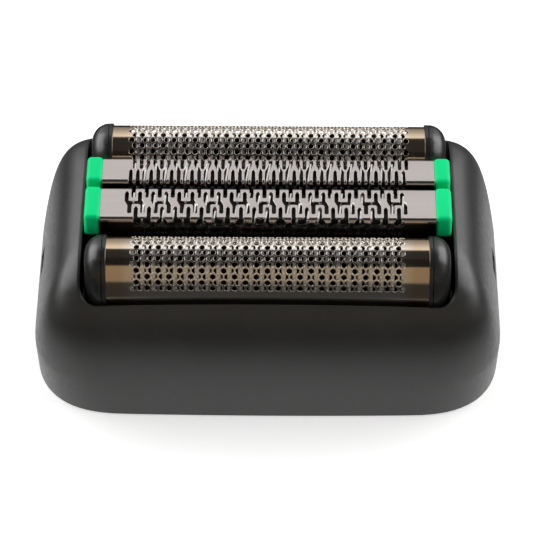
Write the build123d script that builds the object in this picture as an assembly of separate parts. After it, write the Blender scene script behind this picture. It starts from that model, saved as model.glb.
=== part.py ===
from build123d import *
import math
import os

# Sizes are in millimetres. X runs along the foils, Y from front to rear, Z up from the bottom rim.

# Heights, stacked from the bottom rim upwards
SOCKET_DEPTH = 5.0  # hollow under the base frame for the top of the shaver body
BASE_THICKNESS = 1.4
SPRING_HEIGHT = 2.6
LUG_RISE = 3.4  # from the foot of a floating unit to its stop lugs
LUG_HEIGHT = 1.5
STOP_GAP = 0.1
FOIL_RISE = 9.0  # from the housing's inner ledge to the crown of the foils
TRIMMER_DROP = 0.05  # trimmers sit this much lower than the foils

# Motion
FLOAT_TRAVEL = 1.8  # each unit can be pressed down this far
OSCILLATION = 1.0  # each way along X
FLOAT_CLEARANCE = 0.25
GUIDE_CLEARANCE = 0.15
SLIDE_GAP = 0.1

# Foils
FOIL_LENGTH = 40.2
FOIL_THICKNESS = 0.2
CROWN_RADIUS = 3.6
CROWN_HALF_ANGLE = 60.0
FLANK_RADIUS = 9.0
FOIL_LEG = 4.2
HOLE_PITCH = 3.95
HOLE_BAR = 0.8
HOLE_END_MARGIN = 2.75
HOLE_FIELD_ARC = 13.8

# Foil frames: domed end caps joined by two rails
CAP_LENGTH = 2.8
CAP_PROUD = 0.25
CAP_ROUNDING = 2.3
CAP_STEPS = 3  # the rounding is drawn in this many narrow bevels
CAP_TURN = 10.0  # and the arch in flats that turn by this many degrees
TONGUE_LENGTH = 0.8
TONGUE_GAP = 0.08
RAIL_WIDTH = 1.0
RAIL_LAP = 1.7
RAIL_FOOT = 1.0
SHELF_THICKNESS = 1.4
SHELF_REACH = 2.4

# Blade blocks
BLADE_PITCH = 1.35
BLADE_THICKNESS = 0.3
BLADE_CLEARANCE = 0.12
BLADE_SEAT_GAP = 0.02
BLADE_HALF_ANGLE = 75.0
BLADE_FLATS = 3
CARRIER_WIDTH = 4.6
CARRIER_HEIGHT = 5.0
CARRIER_DROP = 0.7
CARRIER_END_GAP = 0.7
BOSS_LENGTH = 8.0
BOSS_HEIGHT = 3.0
DRIVE_BORE_RADIUS = 1.3
DRIVE_BORE_DEPTH = 4.5
ARM_OFFSET = 7.5  # along X from the middle
ARM_LENGTH = 3.0  # along X
ARM_HEIGHT = 2.0
ARM_GAP = 0.9
FINGER_LENGTH = 2.0  # along X
FINGER_DEPTH = 1.6
FINGER_FIT = 0.06
FINGER_GRIP = 0.7  # hold that is left when only the foil is pressed down

# Trimmers
FRONT_TRIMMER_WIDTH = 5.75
REAR_TRIMMER_WIDTH = 4.45
COMB_OVERHANG = 1.0  # past each end of the foils
COMB_THICKNESS = 0.3
COMB_FLANGE = 3.2
SLOT_WIDTH = 0.42
SLOT_END_MARGIN = 3.4
MEANDER_PITCH = 3.31
MEANDER_SHIFT = 0.35
MEANDER_RIBBON = 0.65
FORK_PITCH = 2.61
FORK_TOP_SPREAD = 0.845
FORK_STEM_SPREAD = 0.42
FORK_OVERLAP = 0.13
CUTTER_GAP = 0.1
CUTTER_THICKNESS = 0.25
CUTTER_FLANGE = 2.2
CUTTER_PITCH = 4.4
CUTTER_SLOT = 2.2
CUTTER_SLOT_DEPTH = 1.1
SLIDER_HEIGHT = 8.95
SLIDER_FIT = 0.05
SLIDER_END_GAP = 0.3
GREEN_CAP_LENGTH = 2.05
GREEN_CAP_PROUD = 0.3
GREEN_HEAD_HEIGHT = 2.85
GREEN_LEG_INSET = 0.4  # the leg under the head is narrower on each side
GREEN_CAP_CHAMFER = 0.45
PLUG_LENGTH = 1.2
PLUG_FIT = 0.05

# Gaps between the four units, front to rear
FRONT_FOIL_GAP = 0.35
TRIMMER_GAP = 1.0
REAR_FOIL_GAP = 0.21

# Housing
LEDGE_END = 2.7  # the inner ledge reaches this far past the window at the ends
LEDGE_SIDE = 0.9
END_WALL = 3.8
SIDE_WALL = 2.07
CROWN_RISE = 7.43  # from the ledge to the top of the shoulders
END_WAIST = 6.3  # the ends stand upright up to here, then lean in
END_POWER = 1.03
END_FULLNESS = 11.7
SIDE_WAIST = 4.0  # the same for the front and the rear
SIDE_POWER = 3.36
SIDE_FULLNESS = 3.53
SIDE_BOW = 0.5  # the front and the rear bow out by this much between the ends
FOOT_CORNER = 12.1
CROWN_CORNER = 3.5
CORNER_SQUARENESS = 2.65  # 2 would be a round corner
SKIN_LEVELS = (0, 0.2, 0.4, 0.55, 0.68, 0.78, 0.86, 0.92, 0.96, 0.985)  # from the ends' waist to the crown
CORNER_FLATS = 9
SIDE_FLATS = 4
FLATNESS = 1e-6  # four points closer to one plane than this make one flat face
WINDOW_CORNER = 2.0
POCKET_CORNER = 5.0
LATCH_WIDTH = 8.0
LATCH_HEIGHT = 2.0
LATCH_DEPTH = 0.9
LATCH_RISE = 1.6
GRIP_WIDTH = 4.0
GRIP_HEIGHT = 2.4
GRIP_DEPTH = 1.6
GRIP_RISE = 8.4

# Base frame
BASE_FIT = 0.15
BASE_RIM = 2.6
PLATFORM_REACH = 3.0
GUIDE_GAP = 0.1
GUIDE_SETBACK = 0.4
GUIDE_POST = 1.8
LUG_WIDTH = 2.4
LUG_REACH = 1.0
LUG_END_GAP = 0.2
HOOK_SPACING = 24.0
HOOK_LENGTH = 5.0
HOOK_HEIGHT = 1.0
HOOK_REACH = 0.5
HOOK_FIT = 0.12

# Leaf springs
SPRING_THICKNESS = 0.2
SPRING_BEND = 0.5
FOIL_SPRING_WIDTH = 3.0
TRIMMER_SPRING_WIDTH = 1.8
SPRING_SEAT_GAP = 0.05

# Levels worked out from the heights
base_bottom = SOCKET_DEPTH
base_top = base_bottom + BASE_THICKNESS
leg_bottom = base_top + SPRING_HEIGHT
lug_bottom = leg_bottom + LUG_RISE
lug_top = lug_bottom + LUG_HEIGHT
ledge = lug_top + STOP_GAP
foil_top = ledge + FOIL_RISE
trimmer_top = foil_top - TRIMMER_DROP
housing_top = ledge + CROWN_RISE

# Foil arch: a tight crown that runs into flatter flanks and upright legs
crown_angle = math.radians(CROWN_HALF_ANGLE)
crown_z = foil_top - CROWN_RADIUS
flank_y = -(FLANK_RADIUS - CROWN_RADIUS) * math.sin(crown_angle)
flank_z = crown_z - (FLANK_RADIUS - CROWN_RADIUS) * math.cos(crown_angle)
foil_half_width = flank_y + FLANK_RADIUS
foil_bottom = flank_z - FOIL_LEG
row_pitch = HOLE_PITCH * math.sin(math.radians(60))
cap_half_width = foil_half_width + CAP_PROUD
rail_bottom = foil_bottom - RAIL_FOOT
rail_top = foil_bottom + RAIL_LAP
carrier_top = flank_z - CARRIER_DROP
carrier_bottom = carrier_top - CARRIER_HEIGHT
boss_bottom = carrier_bottom - BOSS_HEIGHT
arm_top = rail_bottom - ARM_GAP
arm_bottom = arm_top - ARM_HEIGHT

# Trimmer levels
cutter_top = trimmer_top - COMB_THICKNESS - CUTTER_GAP
slider_top = cutter_top - CUTTER_THICKNESS
slider_bottom = slider_top - SLIDER_HEIGHT
finger_top = slider_bottom + FLOAT_TRAVEL + FINGER_GRIP
notch_top = finger_top + FLOAT_TRAVEL + FLOAT_CLEARANCE

# Places along X, from the middle outwards
foil_half = FOIL_LENGTH / 2
frame_half = foil_half + CAP_LENGTH
comb_half = foil_half + COMB_OVERHANG
green_half = comb_half + GREEN_CAP_LENGTH
carrier_half = foil_half - TONGUE_LENGTH - OSCILLATION - CARRIER_END_GAP
slider_half = comb_half - PLUG_LENGTH - OSCILLATION - SLIDER_END_GAP
hole_field = 2 * (foil_half - HOLE_END_MARGIN)
slot_field = 2 * (comb_half - SLOT_END_MARGIN)
foil_foot = (foil_half + frame_half) / 2
green_foot = (comb_half + green_half) / 2
window_half_x = max(frame_half, green_half) + FLOAT_CLEARANCE
lug_end = window_half_x + LUG_REACH
pocket_half_x = window_half_x + LEDGE_END
housing_half_x = pocket_half_x + END_WALL
base_half_x = pocket_half_x - BASE_FIT
base_window_half_x = foil_half - PLATFORM_REACH

# Places along Y: the two foils lie at equal distances from the middle
unit_span = (2 * foil_half_width + FRONT_FOIL_GAP + FRONT_TRIMMER_WIDTH + TRIMMER_GAP
             + REAR_TRIMMER_WIDTH + REAR_FOIL_GAP)
rear_foil_y = unit_span / 2
front_foil_y = -rear_foil_y
front_trimmer_y = front_foil_y + foil_half_width + FRONT_FOIL_GAP + FRONT_TRIMMER_WIDTH / 2
rear_trimmer_y = rear_foil_y - foil_half_width - REAR_FOIL_GAP - REAR_TRIMMER_WIDTH / 2
unit_places = (front_foil_y, front_trimmer_y, rear_trimmer_y, rear_foil_y)
window_half_y = rear_foil_y + cap_half_width + FLOAT_CLEARANCE
pocket_half_y = window_half_y + LEDGE_SIDE
housing_half_y = pocket_half_y + SIDE_WALL
base_half_y = pocket_half_y - BASE_FIT


def block(x_range, y_range, z_range):
    """A plain block between two values on each axis."""
    spans = [sorted(span) for span in (x_range, y_range, z_range)]
    middle = [(low + high) / 2 for low, high in spans]
    size = [high - low for low, high in spans]
    return Pos(*middle) * Box(*size)


def flat_rings(a, b, c, d):
    """Four points as one ring, or as two triangles where they do not lie in one plane."""
    normal = (Vector(b) - Vector(a)).cross(Vector(d) - Vector(a))
    if abs(normal.normalized().dot(Vector(c) - Vector(a))) < FLATNESS:
        return [(a, b, c, d)]
    return [(a, b, c), (a, c, d)]


def stack(outlines):
    """Solid through outlines with the same number of points, with flat faces from each one to the next."""
    rings = [outlines[0], outlines[-1]]
    for low, high in zip(outlines, outlines[1:]):
        for index in range(len(low)):
            rings += flat_rings(low[index - 1], low[index], high[index], high[index - 1])
    return Solid(Shell([Face(Wire.make_polygon(ring)) for ring in rings]))


def arch_point(angle, offset):
    """Point on the arch at an angle from upright, offset from the foil's outer face."""
    side = math.copysign(1, angle)
    if abs(angle) <= crown_angle:
        radius = CROWN_RADIUS + offset
        return (radius * math.sin(angle), crown_z + radius * math.cos(angle))
    radius = FLANK_RADIUS + offset
    return (side * (flank_y + radius * math.sin(abs(angle))), flank_z + radius * math.cos(angle))


def arch_angle(arc):
    """Angle from upright of the point that lies this far along the arch from the crown."""
    crown_arc = CROWN_RADIUS * crown_angle
    if abs(arc) <= crown_arc:
        return arc / CROWN_RADIUS
    return math.copysign(crown_angle + (abs(arc) - crown_arc) / FLANK_RADIUS, arc)


def fold_angles():
    """Angles of the folds in the foil's arch: two flats to each row of holes."""
    arch_arc = CROWN_RADIUS * crown_angle + FLANK_RADIUS * (math.pi / 2 - crown_angle)
    steps = int(arch_arc / (row_pitch / 2))
    return [arch_angle(step * row_pitch / 2) for step in range(steps, -steps - 1, -1)]


def cap_angles():
    """Angles of the finer flats in the end caps' arch."""
    flats = round(180 / CAP_TURN)
    return [math.pi / 2 - math.pi * step / flats for step in range(1, flats)]


def arch_outline(angles, offset, bottom):
    """Points (y, z) of an arch with corners at these angles, offset from the foil's outer face."""
    half = foil_half_width + offset
    points = [(half, bottom), (half, flank_z)]
    points += [arch_point(angle, offset) for angle in angles]
    return points + [(-half, flank_z), (-half, bottom)]


def arch_prism(offset, bottom, length):
    """Bar along X, from X = 0, with the folded arch of the foil as its section."""
    outline = Polygon(*arch_outline(fold_angles(), offset, bottom), align=None)
    return extrude(Plane.YZ * outline, amount=length)


def foil_holes():
    """Staggered rows of six-sided holes, each cut square to the sheet on a fold between two flats."""
    rows = int(HOLE_FIELD_ARC / 2 / row_pitch)
    columns = int(hole_field / HOLE_PITCH)
    hexagon = extrude(RegularPolygon((HOLE_PITCH - HOLE_BAR) / 2, 6), amount=2 * FOIL_THICKNESS, both=True)
    holes = []
    for row in range(-rows, rows + 1):
        angle = arch_angle(row * row_pitch)
        y, z = arch_point(angle, 0)
        count = columns - row % 2
        for column in range(count):
            x = (column - (count - 1) / 2) * HOLE_PITCH
            square_on = Plane((x, y, z), x_dir=(1, 0, 0), z_dir=(0, math.sin(angle), math.cos(angle)))
            holes.append(square_on * hexagon)
    return holes


def make_foil():
    """Perforated sheet bent into an arch, at Y = 0."""
    sheet = arch_prism(0, foil_bottom, FOIL_LENGTH) - arch_prism(-FOIL_THICKNESS, rail_bottom, FOIL_LENGTH)
    return Pos(-foil_half, 0, 0) * sheet - foil_holes()


def stop_lug(root):
    """Lug on a right-hand end that slides in the guide wall and stops under the housing's ledge."""
    return block((root, lug_end), (-LUG_WIDTH / 2, LUG_WIDTH / 2), (lug_bottom, lug_top))


def end_dome():
    """End cap with the foil's arch, rounded over at its outer end."""
    places = [(foil_half, 0)]
    for step in range(CAP_STEPS + 1):
        turn = math.pi / 2 * step / CAP_STEPS
        places.append((frame_half - CAP_ROUNDING * (1 - math.sin(turn)), CAP_ROUNDING * (1 - math.cos(turn))))
    outlines = [(x, arch_outline(cap_angles(), CAP_PROUD - inset, leg_bottom)) for x, inset in places]
    return stack([[(x, y, z) for y, z in outline] for x, outline in outlines])


def make_foil_frame():
    """Two domed end caps, each with a tongue under the foil, joined by the side rails."""
    rail_out = foil_half_width - FOIL_THICKNESS
    rail_in = rail_out - RAIL_WIDTH
    tongue = arch_prism(-FOIL_THICKNESS - TONGUE_GAP, rail_bottom, TONGUE_LENGTH)
    shelf_top = carrier_bottom - SLIDE_GAP
    shelf_in = carrier_half - OSCILLATION - SHELF_REACH
    shelf = block((shelf_in, foil_half), (-CARRIER_WIDTH / 2, CARRIER_WIDTH / 2),
                  (shelf_top - SHELF_THICKNESS, shelf_top))
    end = end_dome() + Pos(foil_half - TONGUE_LENGTH, 0, 0) * tongue + shelf + stop_lug(foil_foot)
    frame = end + mirror(end, Plane.YZ)
    for side in (-1, 1):
        frame += block((-foil_half, foil_half), (side * rail_in, side * rail_out), (rail_bottom, rail_top))
        frame += block((-foil_half, foil_half), (side * rail_in, side * foil_half_width),
                       (rail_bottom, foil_bottom))
    return frame


def make_blades():
    """Row of thin arched blades, standing on their carrier just under the foil."""
    offset = -FOIL_THICKNESS - BLADE_CLEARANCE
    sweep_angle = math.radians(BLADE_HALF_ANGLE)
    angles = [sweep_angle * (1 - 2 * step / BLADE_FLATS) for step in range(BLADE_FLATS + 1)]
    outline = [arch_point(angle, offset) for angle in angles]
    seat = carrier_top + BLADE_SEAT_GAP
    outline += [(-CARRIER_WIDTH / 2, seat), (CARRIER_WIDTH / 2, seat)]
    blade = extrude(Plane.YZ * Polygon(*outline, align=None), amount=BLADE_THICKNESS / 2, both=True)
    count = int(2 * carrier_half / BLADE_PITCH)
    return Compound(children=[Pos((index - (count - 1) / 2) * BLADE_PITCH, 0, 0) * blade
                              for index in range(count)])


def make_carrier(trimmer_offset):
    """Blade carrier with its drive socket, and the arm that reaches to the trimmer beside it."""
    half = CARRIER_WIDTH / 2
    carrier = block((-carrier_half, carrier_half), (-half, half), (carrier_bottom, carrier_top))
    carrier += block((-BOSS_LENGTH / 2, BOSS_LENGTH / 2), (-half, half), (boss_bottom, carrier_bottom))
    side = math.copysign(1, trimmer_offset)
    arm_x = (ARM_OFFSET - ARM_LENGTH / 2, ARM_OFFSET + ARM_LENGTH / 2)
    finger_x = (ARM_OFFSET - FINGER_LENGTH / 2, ARM_OFFSET + FINGER_LENGTH / 2)
    finger_y = (trimmer_offset - FINGER_DEPTH / 2, trimmer_offset + FINGER_DEPTH / 2)
    carrier += block(arm_x, (-side * half, side * half), (arm_bottom, carrier_bottom))
    carrier += block(arm_x, (0, trimmer_offset + side * FINGER_DEPTH / 2), (arm_bottom, arm_top))
    carrier += block(finger_x, finger_y, (arm_bottom, finger_top))
    bore = Cylinder(DRIVE_BORE_RADIUS, DRIVE_BORE_DEPTH, align=(Align.CENTER, Align.CENTER, Align.MIN))
    return carrier - Pos(0, 0, boss_bottom) * bore


def channel(half_length, width, top, thickness, flange):
    """Sheet folded into a channel that is open below."""
    half = width / 2
    inner = half - thickness
    outside = block((-half_length, half_length), (-half, half), (top - flange, top))
    return outside - block((-half_length, half_length), (-inner, inner), (top - flange, top - thickness))


def slot(*points):
    """Slot of the trimmers' width that follows straight runs in the XY plane."""
    return trace(Polyline(*points), line_width=SLOT_WIDTH)


def meander_slots(width):
    """Slanted H-shaped slots with slots from both edges between them, as seen from above."""
    half = width / 2
    past_edge = half + COMB_THICKNESS
    quarter = MEANDER_PITCH / 4
    shift = MEANDER_SHIFT / 2
    closed_end = half - MEANDER_RIBBON
    open_end = SLOT_WIDTH / 2 + MEANDER_RIBBON
    h_slot = slot((-quarter, 0), (quarter, 0))
    for x in (-quarter, quarter):
        h_slot += slot((x - shift, closed_end), (x + shift, -closed_end))
    count = int((slot_field + 2 * quarter) / MEANDER_PITCH)
    slots = []
    for index in range(count):
        x = (index - (count - 1) / 2) * MEANDER_PITCH
        slots.append(Pos(x, 0) * h_slot)
        between = [x] if index == count - 1 else [x, x + 2 * quarter]
        for place in between:
            slots.append(slot((place - shift, past_edge), (place - shift, open_end)))
            slots.append(slot((place + shift, -past_edge), (place + shift, -open_end)))
    return slots


def fork_slots(width):
    """Slots that leave upright and upturned forks in turn, as seen from above."""
    past_edge = width / 2 + COMB_THICKNESS
    count = int(slot_field / FORK_PITCH)
    slots = []
    for index in range(count):
        x = (index - (count - 1) / 2) * FORK_PITCH
        slots.append(slot((x, past_edge), (x, FORK_OVERLAP)))
        for side in (-1, 1):
            top = x + side * FORK_TOP_SPREAD
            stem = x + side * FORK_STEM_SPREAD
            slots.append(slot((top, past_edge), (stem, -past_edge)))
        upturned = x + FORK_PITCH / 2
        if index < count - 1:
            slots.append(slot((upturned, -past_edge), (upturned, -FORK_OVERLAP)))
    return slots


def make_comb(width, slots):
    """Folded steel comb: a channel with its slot pattern cut through the top and over the folds."""
    body = channel(comb_half, width, trimmer_top, COMB_THICKNESS, COMB_FLANGE)
    underside = trimmer_top - COMB_THICKNESS
    return body - [extrude(Pos(0, 0, underside) * outline, amount=2 * COMB_THICKNESS) for outline in slots]


def cutter_width(width):
    """Outer width of the cutter that runs inside a comb of this width."""
    return width - 2 * (COMB_THICKNESS + CUTTER_GAP)


def make_cutter(width):
    """Inner comb: a smaller channel cut into plain bridges."""
    outer = cutter_width(width)
    body = channel(slider_half, outer, cutter_top, CUTTER_THICKNESS, CUTTER_FLANGE)
    count = int(slot_field / CUTTER_PITCH)
    places = [(index - (count - 1) / 2) * CUTTER_PITCH for index in range(count)]
    return body - [block((x - CUTTER_SLOT / 2, x + CUTTER_SLOT / 2), (-width, width),
                         (cutter_top - CUTTER_SLOT_DEPTH, trimmer_top)) for x in places]


def make_slider(width):
    """Moulded bar under the cutter, notched below for the drive finger."""
    half = cutter_width(width) / 2 - CUTTER_THICKNESS - SLIDER_FIT
    notch_x = (ARM_OFFSET - FINGER_LENGTH / 2 - FINGER_FIT, ARM_OFFSET + FINGER_LENGTH / 2 + FINGER_FIT)
    bar = block((-slider_half, slider_half), (-half, half), (slider_bottom, slider_top))
    return bar - block(notch_x, (-width, width), (slider_bottom - SLIDE_GAP, notch_top))


def make_green_cap(width, side):
    """End cap of a trimmer, with a plug in the channel, a shelf under the slider and a stop lug."""
    half = width / 2
    leg_half = half - GREEN_LEG_INSET
    cap_top = trimmer_top + GREEN_CAP_PROUD
    head_bottom = cap_top - GREEN_HEAD_HEIGHT
    cap = block((comb_half, green_half), (-half, half), (head_bottom, cap_top))
    top_face = cap.faces().sort_by(Axis.Z)[-1]
    rounded = top_face.edges().filter_by(lambda edge: edge.center().X > comb_half)
    cap = chamfer(rounded, GREEN_CAP_CHAMFER)
    cap += block((comb_half, green_half), (-leg_half, leg_half), (leg_bottom, head_bottom))
    plug_half = width / 2 - COMB_THICKNESS - PLUG_FIT
    plug_top = trimmer_top - COMB_THICKNESS - PLUG_FIT
    shelf_top = slider_bottom - SLIDE_GAP
    shelf_bottom = shelf_top - SHELF_THICKNESS
    cap += block((comb_half - PLUG_LENGTH, comb_half), (-plug_half, plug_half), (shelf_bottom, plug_top))
    shelf_in = slider_half - OSCILLATION - SHELF_REACH
    shelf_half = LUG_WIDTH / 2
    cap += block((shelf_in, comb_half), (-shelf_half, shelf_half), (shelf_bottom, shelf_top))
    cap += stop_lug(green_foot)
    return cap if side > 0 else mirror(cap, Plane.YZ)


def make_spring(width, foot_x, side):
    """Leaf spring: a strip folded back on itself between the base frame and a unit's foot."""
    low = base_top + SPRING_THICKNESS / 2
    high = leg_bottom - SPRING_SEAT_GAP - SPRING_THICKNESS / 2
    fold_x = base_window_half_x + SPRING_BEND
    path = Polyline((foot_x, low), (fold_x + SPRING_BEND, low), (fold_x, low + SPRING_BEND),
                    (fold_x + SPRING_BEND, low + 2 * SPRING_BEND), (foot_x, high))
    strip = extrude(Plane.XZ * trace(path, line_width=SPRING_THICKNESS), amount=width / 2, both=True)
    return strip if side > 0 else mirror(strip, Plane.YZ)


def corner_point(half_x, half_y, corner, quarter, share):
    """Point (x, y) at a share of the way round one of the four corners of an outline."""
    turn = math.pi / 2 * share if quarter % 2 == 0 else math.pi / 2 * (1 - share)
    side_x = 1 if quarter in (0, 3) else -1
    side_y = 1 if quarter in (0, 1) else -1
    rounding = 2 / CORNER_SQUARENESS
    return (side_x * (half_x - corner + corner * max(math.cos(turn), 0) ** rounding),
            side_y * (half_y - corner + corner * math.sin(turn) ** rounding))


def skin_outline(half_x, half_y, corner):
    """Points (x, y) of a squarish outline in narrow flats, with its front and rear bowed out."""
    points = []
    for quarter in range(4):
        points += [corner_point(half_x, half_y, corner, quarter, step / CORNER_FLATS)
                   for step in range(CORNER_FLATS + 1)]
        if quarter % 2 == 0:
            start = points[-1]
            points += [(start[0] * (1 - 2 * step / SIDE_FLATS), start[1]) for step in range(1, SIDE_FLATS)]
    return [(x, y - math.copysign(SIDE_BOW * (x / half_x) ** 2, y)) for x, y in points]


def skin_section(z):
    """Outline of the housing's skin at a height: upright at the foot, drawn in towards the crown."""
    end_rise = max(0.0, (z - END_WAIST) / (housing_top - END_WAIST))
    side_rise = max(0.0, (z - SIDE_WAIST) / (housing_top - SIDE_WAIST))
    half_x = housing_half_x * (1 - end_rise ** END_POWER) ** (1 / END_FULLNESS)
    half_y = housing_half_y * (1 - side_rise ** SIDE_POWER) ** (1 / SIDE_FULLNESS)
    corner = FOOT_CORNER + (CROWN_CORNER - FOOT_CORNER) * z / housing_top
    return [(x, y, z) for x, y in skin_outline(half_x, half_y, corner)]


def housing_skin():
    """Solid outer form of the housing, stacked from its outlines."""
    levels = [0, SIDE_WAIST] + [END_WAIST + rise * (housing_top - END_WAIST) for rise in SKIN_LEVELS]
    return stack([skin_section(z) for z in levels])


def hook_places():
    """Middle of each snap hook along X, with the side of the frame it is on."""
    return [(x, side) for x in (-HOOK_SPACING / 2, HOOK_SPACING / 2) for side in (-1, 1)]


def make_housing():
    """Black outer moulding: window on top, ledge inside, socket below."""
    pocket = RectangleRounded(2 * pocket_half_x, 2 * pocket_half_y, POCKET_CORNER)
    window = RectangleRounded(2 * window_half_x, 2 * window_half_y, WINDOW_CORNER)
    housing = housing_skin() - extrude(pocket, amount=ledge)
    housing -= extrude(Pos(0, 0, ledge) * window, amount=housing_top)
    hook_half = HOOK_LENGTH / 2 + HOOK_FIT
    for x, side in hook_places():
        housing -= block((x - hook_half, x + hook_half),
                         (side * (pocket_half_y - BASE_FIT), side * (base_half_y + HOOK_REACH + HOOK_FIT)),
                         (base_bottom - HOOK_FIT, base_bottom + HOOK_HEIGHT + HOOK_FIT))
    for side in (-1, 1):
        housing -= block((side * (pocket_half_x - BASE_FIT), side * (pocket_half_x + LATCH_DEPTH)),
                         (-LATCH_WIDTH / 2, LATCH_WIDTH / 2), (LATCH_RISE, LATCH_RISE + LATCH_HEIGHT))
        housing -= block((side * (housing_half_x - GRIP_DEPTH), side * housing_half_x),
                         (-GRIP_WIDTH / 2, GRIP_WIDTH / 2), (GRIP_RISE, GRIP_RISE + GRIP_HEIGHT))
    return housing


def make_base_frame():
    """Chassis clipped in from below: open middle, spring platforms, guide walls and snap hooks."""
    plate = RectangleRounded(2 * base_half_x, 2 * base_half_y, POCKET_CORNER - BASE_FIT)
    opening = Rectangle(2 * base_window_half_x, 2 * (base_half_y - BASE_RIM))
    frame = extrude(Pos(0, 0, base_bottom) * (plate - opening), amount=BASE_THICKNESS)
    guide_in = window_half_x + GUIDE_GAP
    guide_out = base_half_x - GUIDE_SETBACK
    guide_half_y = rear_foil_y + LUG_WIDTH / 2 + GUIDE_POST
    slot_half = LUG_WIDTH / 2 + GUIDE_CLEARANCE
    for side in (-1, 1):
        wall = block((side * guide_in, side * guide_out), (-guide_half_y, guide_half_y),
                     (base_bottom, ledge - STOP_GAP))
        for y in unit_places:
            wall -= block((side * (guide_in - GUIDE_GAP), side * (lug_end + LUG_END_GAP)),
                          (y - slot_half, y + slot_half), (base_top, ledge))
        frame += wall
    for x, side in hook_places():
        frame += hook(x, side)
    return frame


def hook(x, side):
    """Snap hook on a long edge: a wedge with its flat side up."""
    edge = side * base_half_y
    profile = Polygon((edge, base_bottom), (edge + side * HOOK_REACH, base_bottom + HOOK_HEIGHT),
                      (edge, base_bottom + HOOK_HEIGHT), align=None)
    return Pos(x, 0, 0) * extrude(Plane.YZ * profile, amount=HOOK_LENGTH / 2, both=True)


def save(shape, name, y=0.0):
    export_step(Pos(0, y, 0) * shape, f"parts/{name}.step")


def main():
    os.makedirs("parts", exist_ok=True)
    save(make_housing(), "housing")
    save(make_base_frame(), "base_frame")
    foil = make_foil()
    foil_frame = make_foil_frame()
    blades = make_blades()
    places = (("front", front_foil_y, front_trimmer_y, FRONT_TRIMMER_WIDTH, meander_slots),
              ("rear", rear_foil_y, rear_trimmer_y, REAR_TRIMMER_WIDTH, fork_slots))
    for end, foil_y, trimmer_y, width, pattern in places:
        save(foil, f"{end}_foil", foil_y)
        save(foil_frame, f"{end}_foil_frame", foil_y)
        save(blades, f"{end}_blades", foil_y)
        save(make_carrier(trimmer_y - foil_y), f"{end}_blade_carrier", foil_y)
        save(make_comb(width, pattern(width)), f"{end}_trimmer_comb", trimmer_y)
        save(make_cutter(width), f"{end}_trimmer_cutter", trimmer_y)
        save(make_slider(width), f"{end}_trimmer_slider", trimmer_y)
        for name, side in (("left", -1), ("right", 1)):
            save(make_green_cap(width, side), f"{end}_trimmer_cap_{name}", trimmer_y)
            save(make_spring(FOIL_SPRING_WIDTH, foil_foot, side), f"{end}_foil_spring_{name}", foil_y)
            save(make_spring(TRIMMER_SPRING_WIDTH, green_foot, side), f"{end}_trimmer_spring_{name}",
                 trimmer_y)


main()
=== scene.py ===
import bpy
from math import copysign, cos, hypot, pi, radians, sin
import numpy as np
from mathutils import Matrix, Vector
from mathutils.geometry import delaunay_2d_cdt


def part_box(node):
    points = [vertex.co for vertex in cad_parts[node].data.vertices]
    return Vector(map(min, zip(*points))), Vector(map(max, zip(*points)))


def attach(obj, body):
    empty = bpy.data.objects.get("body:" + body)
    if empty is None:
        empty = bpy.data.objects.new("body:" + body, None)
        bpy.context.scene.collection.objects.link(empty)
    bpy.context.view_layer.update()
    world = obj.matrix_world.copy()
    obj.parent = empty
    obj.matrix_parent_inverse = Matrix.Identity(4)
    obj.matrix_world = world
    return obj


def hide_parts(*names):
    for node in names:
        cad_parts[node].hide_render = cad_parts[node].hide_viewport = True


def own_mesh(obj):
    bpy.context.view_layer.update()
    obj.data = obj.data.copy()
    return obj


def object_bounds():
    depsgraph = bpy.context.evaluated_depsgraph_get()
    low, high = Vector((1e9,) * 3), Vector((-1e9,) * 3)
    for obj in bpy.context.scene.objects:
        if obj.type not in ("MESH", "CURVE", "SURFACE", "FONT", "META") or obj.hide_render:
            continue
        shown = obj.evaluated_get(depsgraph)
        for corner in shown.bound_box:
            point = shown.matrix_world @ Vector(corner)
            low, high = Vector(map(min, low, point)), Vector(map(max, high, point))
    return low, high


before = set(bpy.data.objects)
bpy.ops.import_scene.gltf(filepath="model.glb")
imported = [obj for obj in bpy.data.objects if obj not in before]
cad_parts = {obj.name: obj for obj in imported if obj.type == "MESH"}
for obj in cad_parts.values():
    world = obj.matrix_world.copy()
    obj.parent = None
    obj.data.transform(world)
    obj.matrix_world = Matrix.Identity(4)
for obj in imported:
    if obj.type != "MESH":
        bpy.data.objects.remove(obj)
cad_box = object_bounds()

# Sizes are in millimetres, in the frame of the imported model: X along the foils, Y to the rear, Z up.
MM = 0.001

# Foil arch, as in the solids
CROWN_RADIUS = 3.6
CROWN_HALF_ANGLE = radians(60)
FLANK_RADIUS = 9.0
SHEET_THICKNESS = 0.12
HOLE_COLUMNS = {"front": 38, "rear": 40}
HOLE_ROWS = 15
HOLE_PITCH = 0.905
HOLE_ROW_PITCH = 0.785
HOLE_RADIUS = 0.335
HOLE_CORNER = 1.10  # how far out their six corners are, beside the flats
HOLE_SHIFT = -0.33  # the field of holes sits a little towards the front
HOLE_EDGE = 0.05
HOLE_POINTS = 12
FIELD_MARGIN = 0.4  # plain sheet around the field, in rows
SKIRT_STEPS = 4
FIELD_SHEEN_TONE = (0.88, 0.81, 0.72)  # painted sheen: the field of holes is painted paler than the plain ends, for the whiter highlights on its ribs
FIELD_END = (16.4, 18.4)  # its tone changes over this span along X

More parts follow.
